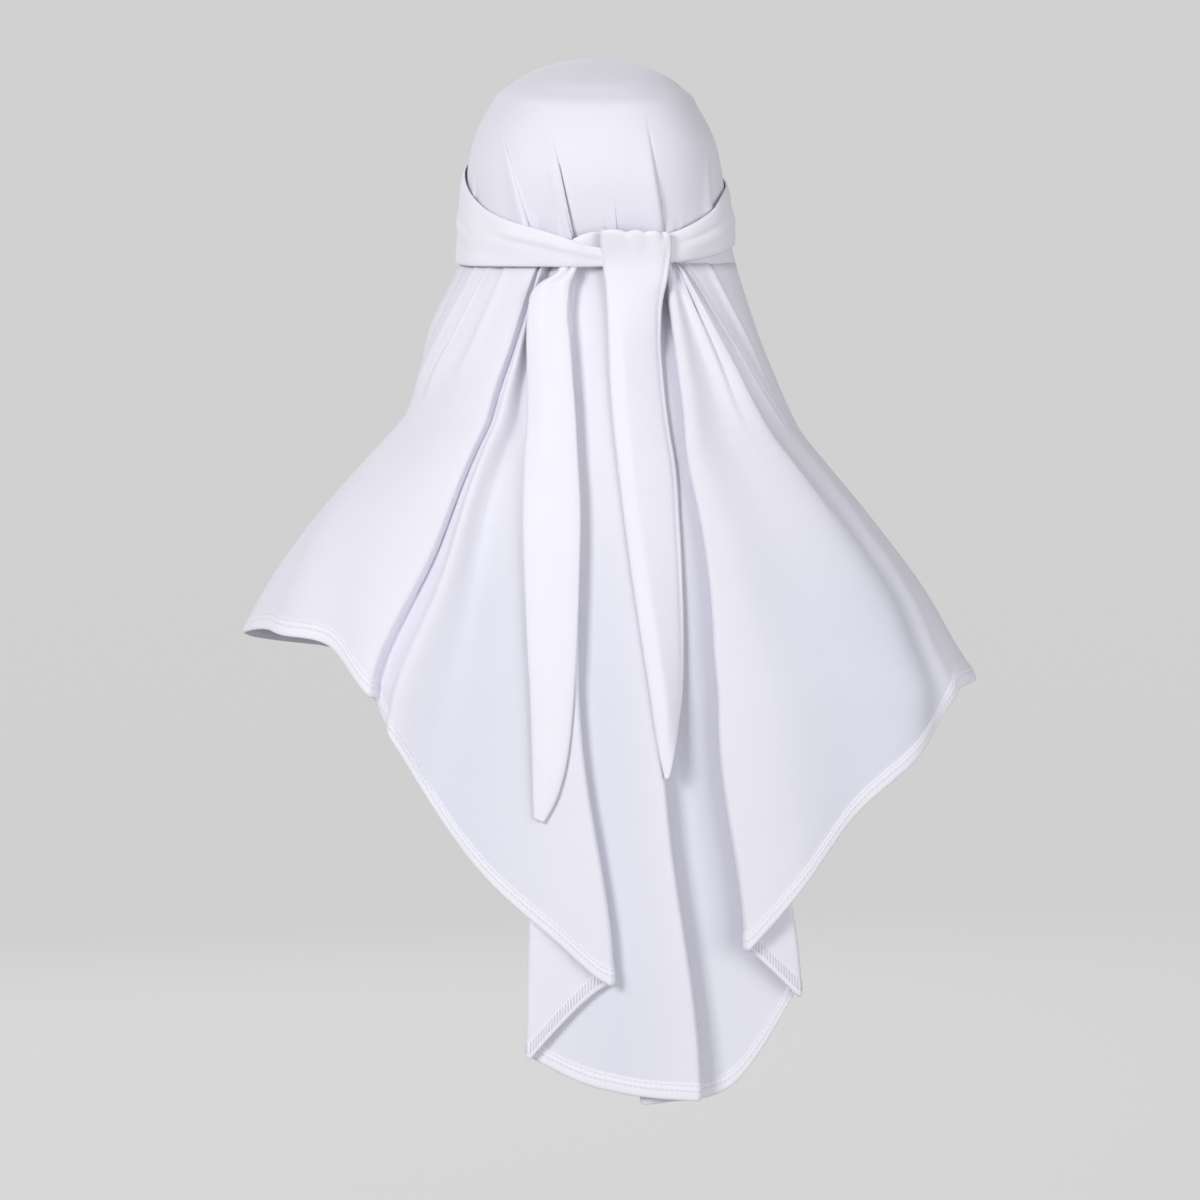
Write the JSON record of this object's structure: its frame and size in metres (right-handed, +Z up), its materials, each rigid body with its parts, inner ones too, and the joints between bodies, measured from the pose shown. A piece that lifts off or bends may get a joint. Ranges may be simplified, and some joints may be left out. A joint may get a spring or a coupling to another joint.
{
  "type": "instant hijab",
  "caption": "White jersey instant hijab with a hood and pointed cape, drawn in at the nape by two knotted ties.",
  "frame": {"origin": "inside of the crown, where the hood rests on the top of the head", "axes": "+Z up through the crown, -Y out of the face opening, +X to the wearer's left, which is the left of a view from behind"},
  "size_m": [0.4684, 0.2538, 0.649],
  "materials": {
    "jersey": "matte",
    "tie_jersey": "matte"
  },
  "bodies": {
    "root": {"hood_cape": "jersey", "tie_left": "tie_jersey", "tie_right": "tie_jersey"}
  },
  "joints": []
}
